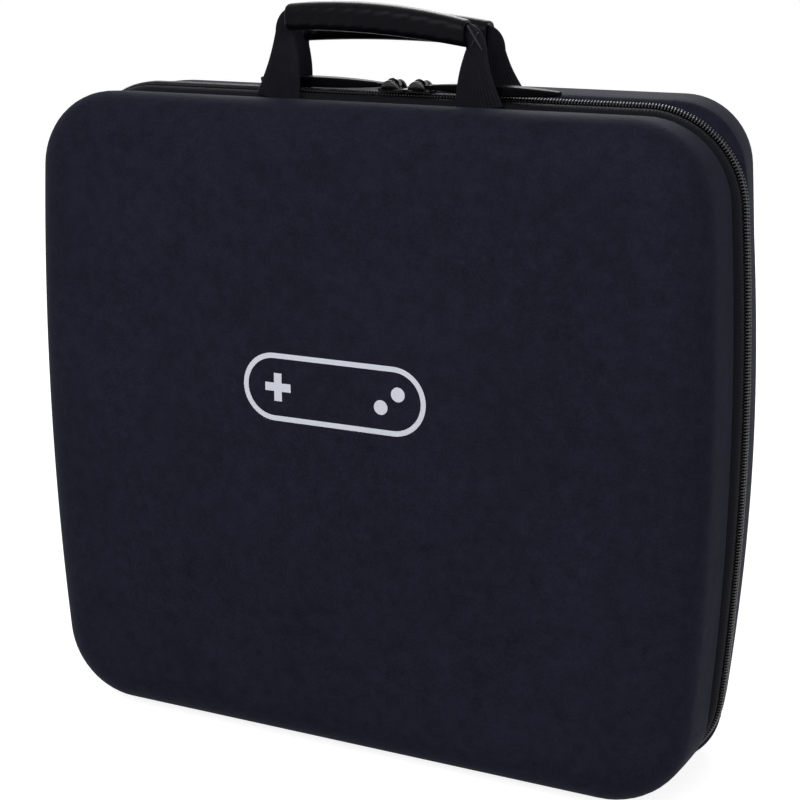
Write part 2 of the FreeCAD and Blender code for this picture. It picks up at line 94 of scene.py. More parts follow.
class Paint:
    """A material under construction, with short calls for its nodes."""

    def __init__(self, name):
        self.material = bpy.data.materials.new(name)
        self.material.use_nodes = True
        self.tree = self.material.node_tree
        self.shader = self.tree.nodes["Principled BSDF"]
        self.place = self.node("ShaderNodeTexCoord").outputs["Object"]

    def feed(self, socket, value):
        """Link a socket to another node's output, or set it to a constant."""
        if isinstance(value, bpy.types.NodeSocket):
            self.tree.links.new(value, socket)
        else:
            socket.default_value = value

    def node(self, kind, inputs=None, **settings):
        node = self.tree.nodes.new(kind)
        for key, value in settings.items():
            setattr(node, key, value)
        for key, value in (inputs or {}).items():
            self.feed(node.inputs[key], value)
        return node

    def set(self, **sockets):
        for key, value in sockets.items():
            self.feed(self.shader.inputs[key.replace("_", " ")], value)

    def noise(self, scale, detail, roughness=0.5):
        inputs = {"Vector": self.place, "Scale": scale, "Detail": detail, "Roughness": roughness}
        return self.node("ShaderNodeTexNoise", inputs).outputs["Fac"]

    def wave(self, scale, axis, distortion):
        inputs = {"Vector": self.place, "Scale": scale, "Distortion": distortion}
        node = self.node("ShaderNodeTexWave", inputs, wave_type="BANDS", bands_direction=axis)
        return node.outputs["Fac"]

    def cells(self, scale):
        inputs = {"Vector": self.place, "Scale": scale}
        return self.node("ShaderNodeTexVoronoi", inputs).outputs["Distance"]

    def maths(self, operation, first, second):
        return self.node("ShaderNodeMath", {0: first, 1: second}, operation=operation).outputs["Value"]

    def span(self, value, low, high):
        inputs = {"Value": value, "To Min": low, "To Max": high}
        return self.node("ShaderNodeMapRange", inputs).outputs["Result"]

    def blend(self, amount, first, second):
        inputs = dict(zip(MIX_INPUTS, (amount, first, second)))
        return self.node("ShaderNodeMix", inputs, data_type="RGBA").outputs[MIX_RESULT]

    def bump(self, height, strength, distance, under=None):
        inputs = {"Height": height, "Strength": strength, "Distance": distance}
        if under is not None:
            inputs["Normal"] = under
        return self.node("ShaderNodeBump", inputs).outputs["Normal"]


def shade(red, green, blue):
    """An sRGB colour of 0 to 255 as the linear values that a socket takes."""
    values = [channel / 255 for channel in (red, green, blue)]
    return tuple(v / 12.92 if v <= 0.04045 else ((v + 0.055) / 1.055) ** 2.4 for v in values) + (1.0,)


def woven(paint, pitch):
    """A plain weave of the given thread pitch in millimetres, in all three directions."""
    wobble = 0.6
    scale = 1 / (pitch * MM) / WAVE_RATE * math.pi
    threads = [paint.wave(scale, axis, wobble) for axis in "XYZ"]
    return paint.maths("MULTIPLY", paint.maths("ADD", threads[0], threads[1]), threads[2])


def lint(paint):
    """A few specks of dust: 1 inside them and 0 elsewhere."""
    cell_scale, speck_size, choice_scale, chosen_above = 45.0, 0.011, 23.0, 0.56
    speck = paint.maths("LESS_THAN", paint.cells(cell_scale), speck_size)
    chosen = paint.maths("GREATER_THAN", paint.noise(choice_scale, 1.0), chosen_above)
    return paint.maths("MULTIPLY", speck, chosen)


def cloth(name, dark, light, pitch, depth, rough, gloss=0.12, dusty=False):
    """Woven cloth: thread relief, soft blotches of wear and a roughness that varies with them."""
    blotch_scale, fuzz_scale, slub_scale = 14.0, 900.0, 170.0
    weave_strength, fuzz_strength = 0.35, 0.18
    paint = Paint(name)
    weave = woven(paint, pitch)
    patches = paint.noise(blotch_scale, 5.0, roughness=0.6)
    fuzz = paint.noise(fuzz_scale, 2.0)
    slub = paint.noise(slub_scale, 3.0)
    tone = paint.maths("ADD", paint.span(patches, 0.15, 0.55), paint.span(fuzz, -0.35, 0.35))
    tone = paint.maths("ADD", tone, paint.span(slub, -0.15, 0.45))
    colour = paint.blend(tone, dark, light)
    if dusty:
        colour = paint.blend(lint(paint), colour, shade(128, 128, 136))
    relief = paint.bump(weave, weave_strength, depth * MM)
    relief = paint.bump(fuzz, fuzz_strength, depth * MM, relief)
    paint.set(Base_Color=colour, Normal=relief, Specular_IOR_Level=gloss)
    paint.set(Roughness=paint.span(patches, rough - 0.06, rough + 0.08))
    return paint.material


def moulded(name, dark, light, rough, coat, grain_scale, grain_depth, gloss):
    """Glossy moulded surface with a fine grain and a little handling wear."""
    wear_scale, grain_strength, coat_rough = 60.0, 0.25, 0.12
    paint = Paint(name)
    wear = paint.noise(wear_scale, 4.0)
    grain = paint.cells(grain_scale)
    paint.set(Base_Color=paint.blend(wear, dark, light), Specular_IOR_Level=gloss)
    paint.set(Roughness=paint.span(wear, rough - 0.07, rough + 0.1))
    paint.set(Normal=paint.bump(grain, grain_strength, grain_depth * MM))
    paint.set(Coat_Weight=coat, Coat_Roughness=coat_rough)
    return paint.material


# Cloths: darkest and lightest colour, thread pitch and relief in millimetres, roughness.
SHELL_CLOTH = cloth("shell_cloth", shade(20, 20.4, 28.4), shade(45, 45.8, 62), 0.9, 0.05, 0.62,
                    gloss=0.012, dusty=True)
LINING = cloth("lining_knit", shade(50, 50, 55), shade(72, 72, 79), 1.3, 0.14, 0.85, gloss=0.05)
TAPE_CLOTH = cloth("tape_weave", shade(14, 14.5, 18.5), shade(27, 27.5, 33), 0.7, 0.06, 0.7, gloss=0.06)
BINDING_CLOTH = cloth("binding_weave", shade(18, 18, 21), shade(28, 28, 32), 0.8, 0.08, 0.75)
WEBBING = cloth("webbing_weave", shade(17, 17, 21), shade(36, 36, 43), 0.75, 0.12, 0.6, gloss=0.06)
# The fold edges' cloth is lighter than the webbing: a painted highlight where the folds catch the light.
FOLD_EDGE_PAINTED_HIGHLIGHT = cloth("fold_edge_painted_highlight", shade(30, 30, 36), shade(46, 46, 54), 0.75, 0.06, 0.45, gloss=0.2)
HOLD_CLOTH = cloth("hold_strap_weave", shade(22, 22, 25), shade(33, 33, 37), 0.9, 0.1, 0.75)
NET_CORD = cloth("net_cord", shade(20, 20, 23), shade(32, 32, 36), 0.5, 0.06, 0.7)
THREAD = cloth("sewing_thread", shade(70, 70, 76), shade(98, 98, 105), 0.4, 0.05, 0.6)
PRINT = cloth("print_ink", shade(226, 229, 242), shade(236, 239, 250), 0.9, 0.03, 0.5)
# Moulded surfaces: darkest and lightest colour, roughness, coat, grain scale and depth, gloss.
COIL = moulded("coil_nylon", shade(14, 14, 17), shade(26, 26, 30), 0.24, 0.12, 900.0, 0.01, 0.36)
GRIP = moulded("grip_sleeve", shade(7, 7, 11), shade(13, 13, 19), 0.32, 0.0, 700.0, 0.05, 0.06)
SLIDER = moulded("slider_enamel", shade(8, 8, 10), shade(13, 13, 15), 0.16, 0.25, 300.0, 0.01, 0.3)
PULL = moulded("pull_gloss", shade(7, 7, 9), shade(12, 12, 14), 0.3, 0.0, 400.0, 0.012, 0.02)


def grid_faces(rows, columns, first=0, ring=False):
    """Quads over points numbered row by row, closed round the columns where ring is set."""
    faces = []
    for row in range(rows - 1):
        for column in range(columns if ring else columns - 1):
            after = (column + 1) % columns
            a, b = first + row * columns + column, first + row * columns + after
            faces.append((a, b, b + columns, a + columns))
    return faces


def tube_faces(rows, columns):
    """Quads over rings of points, and a flat cap on the first and the last ring."""
    last = (rows - 1) * columns
    caps = [tuple(range(columns))[::-1], tuple(range(last, last + columns))]
    return grid_faces(rows, columns, ring=True) + caps


class Shape:
    """Points and faces gathered for one mesh, each face with the number of its material."""

    def __init__(self):
        self.points, self.faces, self.paints = [], [], []
        self.count = 0

    def add(self, points, faces, paint=BASE):
        points = np.asarray(points, float).reshape(-1, 3)
        self.points.append(points)
        self.faces += [tuple(index + self.count for index in face) for face in faces]
        self.paints += [paint] * len(faces)
        self.count += len(points)

    def tube(self, rows, paint=BASE):
        """A closed tube over an array of rings of points."""
        self.add(rows, tube_faces(*rows.shape[:2]), paint)

    def copies(self, points, faces, paint=BASE):
        """Many copies of one small shape: points is copies by points by 3."""
        count, each = points.shape[:2]
        many = [tuple(index + copy * each for index in face) for copy in range(count) for face in faces]
        self.add(points, many, paint)

    def make(self, name, materials, body=None, replaces=()):
        mesh = bpy.data.meshes.new(name)
        mesh.from_pydata((np.vstack(self.points) * MM).tolist(), [], self.faces)
        for material in materials:
            mesh.materials.append(material)
        mesh.polygons.foreach_set("material_index", self.paints)
        mesh.polygons.foreach_set("use_smooth", [True] * len(self.faces))
        mesh.update()
        item = bpy.data.objects.new(name, mesh)
        bpy.context.scene.collection.objects.link(item)
        if body:
            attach(item, body)
        if replaces:
            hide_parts(*replaces)
        return item


def welded(item):
    """Join points that lie on each other and turn all faces outwards."""
    same_place = 1e-6
    work = bmesh.new()
    work.from_mesh(item.data)
    bmesh.ops.remove_doubles(work, verts=work.verts, dist=same_place)
    bmesh.ops.recalc_face_normals(work, faces=work.faces)
    work.to_mesh(item.data)
    work.free()
    item.data.update()
    return item


def slab(shape, low, high, thin, steps=(24, 24), bend=None, ribs=0):
    """A flat strip of cloth between two corners, thin along one axis, with soft edges and optional ribs."""
    round_share, least_edge, rib_share = 1.5, 0.05, 0.16
    low, high = np.array(low, float), np.array(high, float)
    size = high - low
    first, second = [axis for axis in range(3) if axis != thin]
    grid_u, grid_v = np.meshgrid(np.linspace(0, 1, steps[0]), np.linspace(0, 1, steps[1]), indexing="ij")
    edge = np.minimum(np.minimum(grid_u, 1 - grid_u) * size[first],
                      np.minimum(grid_v, 1 - grid_v) * size[second])
    half = size[thin] / 2
    soft = half * np.sqrt(np.clip(edge / (half * round_share), least_edge, 1))
    if ribs:
        soft = soft * (1 + rib_share * np.cos(grid_u * ribs * 2 * math.pi))
    middle = (low + high)[thin] / 2
    sheets = []
    for way in (1, -1):
        points = np.zeros(grid_u.shape + (3,))
        points[..., first] = low[first] + grid_u * size[first]
        points[..., second] = low[second] + grid_v * size[second]
        points[..., thin] = middle + way * soft
        if bend is not None:
            points[..., thin] += bend(points[..., first], points[..., second])
        sheets.append(points)

    def number(sheet, place):
        return sheet * steps[0] * steps[1] + place[0] * steps[1] + place[1]

    rim = [(i, 0) for i in range(steps[0])] + [(steps[0] - 1, j) for j in range(1, steps[1])]
    rim += [(i, steps[1] - 1) for i in range(steps[0] - 2, -1, -1)]
    rim += [(0, j) for j in range(steps[1] - 2, 0, -1)]
    faces = grid_faces(*steps) + [face[::-1] for face in grid_faces(*steps, first=steps[0] * steps[1])]
    for here, after in zip(rim, rim[1:] + rim[:1]):
        faces.append((number(0, here), number(1, here), number(1, after), number(0, after)))
    shape.add(np.concatenate([sheet.reshape(-1, 3) for sheet in sheets]), faces)


def stitch_row(shape, start, end, lift, length=2.6, gap=1.0):
    """A row of stitches between two points, each a small thread that dips at both ends."""
    radius, sides = 0.28, 6
    start, end, lift = np.array(start, float), np.array(end, float), np.array(lift, float)
    span = np.linalg.norm(end - start)
    way = (end - start) / span
    side = np.cross(way, lift)
    count = max(int(span / (length + gap)), 1)
    turns = np.arange(sides) * math.pi / 3
    ring = np.outer(np.cos(turns), side) + np.outer(np.sin(turns), lift)
    stations = np.array([-0.5, -0.3, 0.0, 0.3, 0.5]) * length
    heights = np.array([-0.25, 0.12, 0.2, 0.12, -0.25])
    swells = np.array([0.6, 0.95, 1.0, 0.95, 0.6]) * radius
    rings = len(stations)
    points = np.zeros((count, rings, sides, 3))
    for copy in range(count):
        middle = start + way * (copy + 0.5) * span / count
        for index, (station, height, swell) in enumerate(zip(stations, heights, swells)):
            points[copy, index] = middle + way * station + lift * height + ring * swell
    shape.copies(points.reshape(count, rings * sides, 3), tube_faces(rings, sides), SEWN)


def node_box(node):
    """A CAD node's lowest and highest corners in millimetres."""
    low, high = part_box(node)
    return np.array(low) / MM, np.array(high) / MM


def bowed_side(bottom, top, radius):
    """The angle at which a bowed side leaves its corners, and the side's own radius."""
    straight = (top - bottom) / 2 - radius
    angle = 2 * math.atan(SIDE_BOW / straight)
    return angle, radius + straight / math.sin(angle)


def arc_points(x, z, radius, first, last, steps):
    """Points (x, z) on an arc from one angle to another."""
    angles = np.linspace(first, last, steps)
    return np.column_stack([x + radius * np.cos(angles), z + radius * np.sin(angles)])


def rounded_outline(half_width, bottom, top, radius, corner_steps=14, run_steps=24):
    """Points (x, z) round the bag's outline, counter-clockwise, as many for every size."""
    inner = half_width - radius
    turn, sweep = bowed_side(bottom, top, radius)
    side_x, middle = inner - (sweep - radius) * math.cos(turn), (top + bottom) / 2
    quarter = math.pi / 2
    low = arc_points(inner, bottom + radius, radius, -quarter, -turn, corner_steps + 1)
    side = arc_points(side_x, middle, sweep, -turn, turn, run_steps + 1)[1:-1]
    high = arc_points(inner, top - radius, radius, turn, quarter, corner_steps + 1)
    right = np.vstack([low, side, high])
    left = right[::-1] * (-1, 1)
    over = np.linspace(right[-1], left[0], run_steps + 1)[1:-1]
    under = np.linspace(left[-1], right[0], run_steps + 1)[1:-1]
    return np.vstack([right, over, left, under])


def crown(x, z, half_width, bottom, top):
    """How far a half's face stands out from flat: a low dome with a slight unevenness."""
    dome, uneven, wave_x, wave_z = 1.8, 0.25, 31, 43
    across = 1 - (x / half_width) ** 2
    middle, reach = (top + bottom) / 2, (top - bottom) / 2
    upright = 1 - ((z - middle) / reach) ** 2
    height = dome + uneven * np.sin(x / wave_x + 1) * np.sin(z / wave_z)
    return np.clip(across, 0, 1) * np.clip(upright, 0, 1) * height


def sag(half, x, z):
    """How far the rear half's top edge hangs lower towards the left than the moulding was made."""
    if half == FRONT:
        return np.zeros_like(x)
    drop, right_end, run, foot, reach = 4.2, 55.0, 110.0, 170.0, 160.0
    share = np.clip((right_end - x) / run, 0, 1)
    height = np.clip((z - foot) / reach, 0, 1)
    return drop * share ** 2 * (3 - 2 * share) * height ** 2


def fullness(half, x, z, share):
    """How far the rear half's right side stands out more than it was made, growing towards the back."""
    if half == FRONT:
        return np.zeros_like(x)
    most, start, run, foot, reach = 3.5, 120.0, 50.0, 30.0, 240.0
    aside = np.clip((x - start) / run, 0, 1)
    return most * share * aside * np.sin(math.pi * np.clip((z - foot) / reach, 0, 1))


def shell_face(half):
    """The half width, bottom and top of the flat part of a half's face."""
    edge = EDGE[half]
    return (HALF_WIDTH + SIDE_BOW - INSET[half] - TAPER[half] - edge, SOLE_TAPER[half] + edge,
            TOP - TOP_INSET[half] - TOP_TAPER[half] - edge)


def shell(half):
    """One moulded half: domed face, round edges, leaning walls, a rolled rim and the lining inside."""
    depth, edge = DEPTH[half], EDGE[half]
    rim_round, lip, lining_start, wall_swell, least_corner, centre_share = 2.0, 0.6, 4, 0.7, 8.0, 0.03
    rows, paints = [], []
    face_size = shell_face(half)

    def row(out, back, lift=0.0, shrink=1.0, paint=OUTSIDE):
        share = min((out - RIM) / (depth - RIM), 1.0)
        swell = wall_swell * math.sin(math.pi * share)
        half_width = HALF_WIDTH - INSET[half] - TAPER[half] * share + swell - back
        top = TOP - TOP_INSET[half] - TOP_TAPER[half] * share + swell - back
        bottom = SOLE_TAPER[half] * share + back
        outline = rounded_outline(half_width, bottom, top, max(SHELL_CORNER[half] - back, least_corner))
        centre = np.array([0.0, (top + bottom) / 2])
        outline = centre + (outline - centre) * shrink
        x, z = outline[:, 0], outline[:, 1] - sag(half, outline[:, 0], outline[:, 1])
        x = x + fullness(half, x, z, share)
        y = out + lift * crown(x, z, *face_size)
        rows.append(np.column_stack([x, ZIP_Y + half * y, z]))
        paints.append(paint)

    for shrink in np.linspace(centre_share, 1, 20)[:-1]:
        row(depth, edge, 1.0, shrink)
    for angle in np.radians(np.linspace(90, 0, 13)):
        row(depth - edge + edge * math.sin(angle), edge * (1 - math.cos(angle)), math.sin(angle) ** 2)
    for out in np.linspace(depth - edge, RIM + rim_round, 9)[1:]:
        row(out, 0.0)
    for angle in np.radians(np.linspace(0, 90, 6))[1:]:
        row(RIM + rim_round * (1 - math.sin(angle)), rim_round * (1 - math.cos(angle)))
    row(RIM, WALL - lip)
    row(RIM + lip, WALL, paint=LINED)
    floor, hollow = depth - WALL, edge - WALL
    for out in np.linspace(RIM + lining_start, floor - hollow, 7):
        row(out, WALL, paint=LINED)
    for angle in np.radians(np.linspace(0, 90, 9))[1:]:
        row(floor - hollow + hollow * math.sin(angle), hollow * (1 - math.cos(angle)) + WALL, paint=LINED)
    for shrink in np.linspace(1, centre_share, 14)[1:]:
        row(floor, edge, 0.0, shrink, paint=LINED)

    shape = Shape()
    columns = len(rows[0])
    for index in range(len(rows) - 1):
        shape.add(np.vstack(rows[index:index + 2]), grid_faces(2, columns, ring=True), paints[index + 1])
    for ring, paint in ((rows[0], OUTSIDE), (rows[-1], LINED)):
        fan = [(i, (i + 1) % columns, columns) for i in range(columns)]
        shape.add(np.vstack([ring, ring.mean(0)]), fan, paint)
    name = SIDE[half]
    return welded(shape.make(f"{name}_shell_moulding", [SHELL_CLOTH, LINING], BODY[half],
                             [f"{name}_shell"]))


def zip_line(distances):
    """Points, outward normals and total length of the zip's line, at distances from its left end."""
    at_end = 1e-9
    inner, middle, quarter = HALF_WIDTH - CORNER, (TOP + BOTTOM) / 2, math.pi / 2
    turn, sweep = bowed_side(BOTTOM, TOP, CORNER)
    side_x = inner - (sweep - CORNER) * math.cos(turn)
    corner, side = CORNER * (quarter - turn), sweep * 2 * turn
    legs = [(inner - TAPE_END, (-TAPE_END, BOTTOM), (-1, 0), None),
            (corner, (-inner, BOTTOM + CORNER), 3 * quarter, CORNER),
            (side, (-side_x, middle), math.pi + turn, sweep),
            (corner, (-inner, TOP - CORNER), math.pi - turn, CORNER),
            (2 * inner, (-inner, TOP), (1, 0), None),
            (corner, (inner, TOP - CORNER), quarter, CORNER),
            (side, (side_x, middle), turn, sweep),
            (corner, (inner, BOTTOM + CORNER), -turn, CORNER),
            (inner - TAPE_END, (inner, BOTTOM), (-1, 0), None)]
    points, normals = np.zeros((len(distances), 2)), np.zeros((len(distances), 2))
    start = 0.0
    for length, place, way, radius in legs:
        here = (distances >= start - at_end) & (distances <= start + length + at_end)
        along = distances[here] - start
        if radius is None:
            way = np.array(way, float)
            points[here] = np.array(place) + along[:, None] * way
            normals[here] = (-way[1], way[0])
        else:
            angle = way - along / radius
            normals[here] = np.column_stack([np.cos(angle), np.sin(angle)])
            points[here] = np.array(place) + radius * normals[here]
        start += length
    return points, normals, start


ZIP_LENGTH = zip_line(np.zeros(1))[2]


def along_zip(distances, across, height, half):
    """Points at a distance from the zip's plane and a height over its line; the arrays broadcast."""
    points, normals, _ = zip_line(distances)
    across, height = np.broadcast_arrays(across, height)
    rows = np.zeros((len(distances), across.shape[-1], 3))
    rows[..., 0] = points[:, :1] + normals[:, :1] * height
    rows[..., 1] = ZIP_Y + half * across
    rows[..., 2] = points[:, 1:] + normals[:, 1:] * height
    return rows


def bowed(first, last, radius, steps):
    """Points on an arc from first to last that bows upwards."""
    first, last = np.array(first), np.array(last)
    chord = last - first
    length = np.linalg.norm(chord)
    rise = math.sqrt(radius ** 2 - length ** 2 / 4)
    centre = (first + last) / 2 + np.array([chord[1], -chord[0]]) / length * rise
    ends = [math.atan2(*(point - centre)[::-1]) for point in (first, last)]
    return arc_points(*centre, radius, *ends, steps)


def rim_heights(half, distances):
    """How far the shell's rim stands over the zip's line, at distances along the zip."""
    reach, far, touching = 15, 1e9, 1e-6
    rim = rounded_outline(HALF_WIDTH - INSET[half], 0.0, TOP - TOP_INSET[half], SHELL_CORNER[half],
                          corner_steps=40, run_steps=80)
    rim[:, 1] -= sag(half, rim[:, 0], rim[:, 1])
    points, normals, _ = zip_line(distances)
    heights = np.zeros(len(distances))
    for index, (point, normal) in enumerate(zip(points, normals)):
        offset = rim - point
        aside = np.abs(offset @ np.array([-normal[1], normal[0]]))
        ahead = offset @ normal
        near = np.argsort(np.where(np.abs(ahead) < reach, aside, far))[:2]
        heights[index] = np.average(ahead[near], weights=1 / (aside[near] + touching))
    return heights


def zip_tape(half):
    """Cloth beside the teeth: a ribbed tape that dips under the front rim, or the rear half's own cloth."""
    pitch, per_rib, arc_steps = 1.75, 4, 10
    inner, next_to, foot, level, thickness, least_radius = 0.7, 2.0, 3.2, -1.9, 1.1, 6.0
    dip, end, rise, slack = (3.0, 11.4, 0.14, 0.62) if half == FRONT else (0.15, 12.6, 0.0, 0.85)
    distances = np.linspace(0, ZIP_LENGTH, int(ZIP_LENGTH / pitch) * per_rib + 1)
    edges = rim_heights(half, distances) - dip
    ribs = np.cos(np.arange(len(distances)) * 2 * math.pi / per_rib) * rise
    rib_shares = np.concatenate([[0, 0.2], np.sin(np.linspace(0.25, math.pi - 0.1, arc_steps))])
    across, height = [], []
    for edge, rib in zip(edges, ribs):
        radius = max(least_radius, math.hypot(end - foot, edge - level) * slack)
        over = np.vstack([[(inner, level), (next_to, level)],
                          bowed((foot, level), (end, edge), radius, arc_steps)])
        over[:, 1] += rib * rib_shares
        profile = np.vstack([over, over[::-3] - (0, thickness)])
        across.append(profile[:, 0])
        height.append(profile[:, 1])
    shape = Shape()
    shape.tube(along_zip(distances, np.array(across), np.array(height), half))
    name = SIDE[half]
    finish = TAPE_CLOTH if half == FRONT else SHELL_CLOTH
    return welded(shape.make(f"{name}_tape_ribbed", [finish], BODY[half], [f"{name}_zip_tape"]))


def zip_teeth(half):
    """One row of the coil: a wire loop at each pitch, with a round head at the middle of the chain."""
    pitch, sides, end_gap = 1.55, 6, 3
    phase = 0.25 if half == FRONT else 0.75
    count = int((ZIP_LENGTH - 2 * end_gap) / pitch)
    places = end_gap + (np.arange(count) + phase) * pitch
    wire = np.array([(2.85, -1.85), (2.85, -0.75), (2.4, -0.12), (1.65, 0.14), (1.0, -0.2), (0.5, -0.85),
                     (0.42, -1.5)])
    radii = np.array([0.38, 0.38, 0.38, 0.42, 0.42, 0.44, 0.4])
    run = np.gradient(wire, axis=0)
    run /= np.linalg.norm(run, axis=1)[:, None]
    lift = np.column_stack([-run[:, 1], run[:, 0]])
    turns = np.arange(sides) * 2 * math.pi / sides
    across = wire[:, None, 0] + lift[:, None, 0] * radii[:, None] * np.cos(turns)
    height = wire[:, None, 1] + lift[:, None, 1] * radii[:, None] * np.cos(turns)
    along = radii[:, None] * np.sin(turns)
    across, height, along = (item.ravel() for item in (across, height, along))
    points, normals, _ = zip_line(places)
    tangents = np.column_stack([normals[:, 1], -normals[:, 0]])
    teeth = np.zeros((count, len(across), 3))
    teeth[..., 0] = points[:, :1] + normals[:, :1] * height + tangents[:, :1] * along
    teeth[..., 1] = ZIP_Y + half * across
    teeth[..., 2] = points[:, 1:] + normals[:, 1:] * height + tangents[:, 1:] * along
    shape = Shape()
    shape.copies(teeth, tube_faces(len(wire), sides))
    name = SIDE[half]
    return welded(shape.make(f"{name}_coil_teeth", [COIL], BODY[half], [f"{name}_zip_coil"]))


def seam_binding(half):
    """The binding sewn over the raw edge inside a rim, with a flat tab at each end."""
    section = np.array([(8.3, -0.5), (8.7, -0.1), (10.2, -0.1), (10.6, -0.5), (10.6, -2.6), (10.2, -2.9),
                        (8.7, -2.9), (8.3, -2.6)])
    steps, under_rim, ripple, ripple_rate = 420, 4.3, 0.08, 1.9
    tab_out, tab_in, tab_sides, tab_levels = 3.0, 9.0, (4.3, 11.4), (0.7, 1.7)
    distances = np.linspace(0, ZIP_LENGTH, steps)
    edges = rim_heights(half, distances) - under_rim + ripple * np.sin(np.arange(steps) * ripple_rate)
    shape = Shape()
    shape.tube(along_zip(distances, section[:, 0], section[:, 1] + edges[:, None], half))
    for hand in (LEFT, RIGHT):
        ends = sorted((hand * (TAPE_END + tab_out), hand * (TAPE_END - tab_in)))
        sides = sorted(ZIP_Y + half * side for side in tab_sides)
        slab(shape, (ends[0], sides[0], tab_levels[0]), (ends[1], sides[1], tab_levels[1]), 2, steps=(12, 8))
    name = SIDE[half]
    return welded(shape.make(f"{name}_binding_tape", [BINDING_CLOTH], BODY[half],
                             [f"{name}_seam_binding"]))


def handle_points(half, local):
    """Points given in a handle's own frame, which stands on the rim and leans away from the zip."""
    angle = math.radians(-half * STRAP_LEAN)
    base = TOP - TOP_INSET[half] + STRAP_LIFT
    x, y, z = local[..., 0], local[..., 1], local[..., 2]
    turned_y = y * math.cos(angle) - z * math.sin(angle)
    turned_z = y * math.sin(angle) + z * math.cos(angle)
    return np.stack([x, ZIP_Y + STRAP_OFFSET * half + turned_y, base + turned_z], -1)


def grip_line(half, x):
    """Height of a grip's middle line over its rim."""
    left, middle, right = GRIP_HEIGHTS[half]
    share = x / GRIP_HALF
    return middle + (right - left) / 2 * share + ((right + left) / 2 - middle) * share ** 2


def squarish(angles, power):
    """Across and upright shares round a rounded square."""
    return tuple(np.sign(wave) * np.abs(wave) ** power for wave in (np.cos(angles), np.sin(angles)))


def grip(half):
    """A soft moulded sleeve, fuller in the middle, with a row of slanting dents on each side."""
    stations, turns = 170, 48
    tall, tall_loss, deep, deep_loss, mouth, mouth_run = 7.25, 0.95, 7.0, 1.25, 0.06, 2.4
    dent_pitch, dent_start, dent_stop, dent_slant = 9.5, 7, 5, 4.5
    dent_long, dent_wide, dent_depth = 1.7, 0.55, 0.085
    end_scale, end_shift = np.array([0.55, 0.75, 0.92]), np.array([0.9, 0.35, 0.08])
    left, right = -GRIP_END[half, LEFT], GRIP_END[half, RIGHT]
    xs = np.concatenate([[left] * 3, np.linspace(left, right, stations), [right] * 3])
    scale = np.concatenate([end_scale, np.ones(stations), end_scale[::-1]])
    shift = np.concatenate([end_shift, np.zeros(stations), -end_shift[::-1]])
    share = np.abs((xs - (left + right) / 2) / ((right - left) / 2))
    ease = np.clip((1 - share) * (right - left) / mouth_run, 0, 1) ** 0.5
    half_height = (tall - tall_loss * share ** 2) * scale * (1 - mouth + mouth * ease)
    half_depth = (deep - deep_loss * share ** 2) * scale * (1 - mouth + mouth * ease)
    angles = np.arange(turns) * 2 * math.pi / turns
    y, z = squarish(angles, 0.8)
    dent = np.zeros((len(xs), turns))
    for centre in np.arange(left + dent_start, right - dent_stop, dent_pitch):
        for level, slant in ((0.0, dent_slant), (math.pi, -dent_slant)):
            around = (angles - level + math.pi) % (2 * math.pi) - math.pi
            offset = xs[:, None] - centre - around[None] * slant
            dent += np.exp(-(offset / dent_long) ** 2) * np.exp(-(around[None] / dent_wide) ** 2)
    size = 1 - dent_depth * np.clip(dent, 0, 1)
    rows = np.zeros((len(xs), turns, 3))
    rows[..., 0] = (xs + shift)[:, None]
    rows[..., 1] = half_depth[:, None] * y * size
    rows[..., 2] = grip_line(half, xs)[:, None] + half_height[:, None] * z * size
    shape = Shape()
    shape.tube(handle_points(half, rows))
    name = SIDE[half]
    return welded(shape.make(f"{name}_grip_sleeve", [GRIP], BODY[half], [f"{name}_handle_grip"]))


def ribbed_strip(middles, widths, normal, sides, thickness, ribs, curls):
    """Webbing along a line: ribs run lengthwise, and its edges curl back by the given depths."""
    rib_height, per_rib = 0.26, 4
    u = np.linspace(-1, 1, ribs * per_rib + 1)
    rib = rib_height * np.cos(u * ribs * math.pi) * (1 - u ** 8)
    round_off = thickness / 2 * np.sqrt(np.clip(1 - np.abs(u) ** 10, 0, 1))
    front, back = [], []
    for middle, width, side, curl in zip(middles, widths, sides, curls):
        spread = middle + side * (u * width / 2)[:, None]
        sunk = -curl * np.abs(u) ** 2.2
        front.append(spread + normal * (sunk + round_off + rib)[:, None])
        back.append(spread + normal * (sunk - round_off - rib)[:, None])
    return np.concatenate([np.array(front), np.array(back)[:, ::-1]], axis=1)


def strap_line(half, hand):
    """Middle line (x, z) and widths of a strap end: up the leg, then round a bend into the grip."""
    leg_steps, bend_steps, hollow = 30, 14, 1.3
    end = GRIP_END[half, hand]
    level = grip_line(half, hand * end)
    foot = np.array([STRAP_FOOT[half, hand], STRAP_FOOT_LEVEL[half]])
    knee, bend = np.array([end + 3.6, level - 7.5]), np.array([end + 3.4, level + 0.8])
    inside = np.array([end - 5.0, level])
    up = np.linspace(0, 1, leg_steps)
    leg = foot + (knee - foot) * up[:, None]
    leg[:, 0] -= hollow * np.sin(up * math.pi)
    share = np.linspace(0, 1, bend_steps + 1)[1:, None]
    turn = knee * (1 - share) ** 2 + bend * 2 * share * (1 - share) + inside * share ** 2
    line = np.vstack([leg, turn]) * (hand, 1)
    width = np.concatenate([STRAP_WIDTH - (STRAP_WIDTH - FOLDED_WIDTH) * up ** 1.1,
                            np.linspace(FOLDED_WIDTH, GRIPPED_WIDTH, bend_steps)])
    return line, width


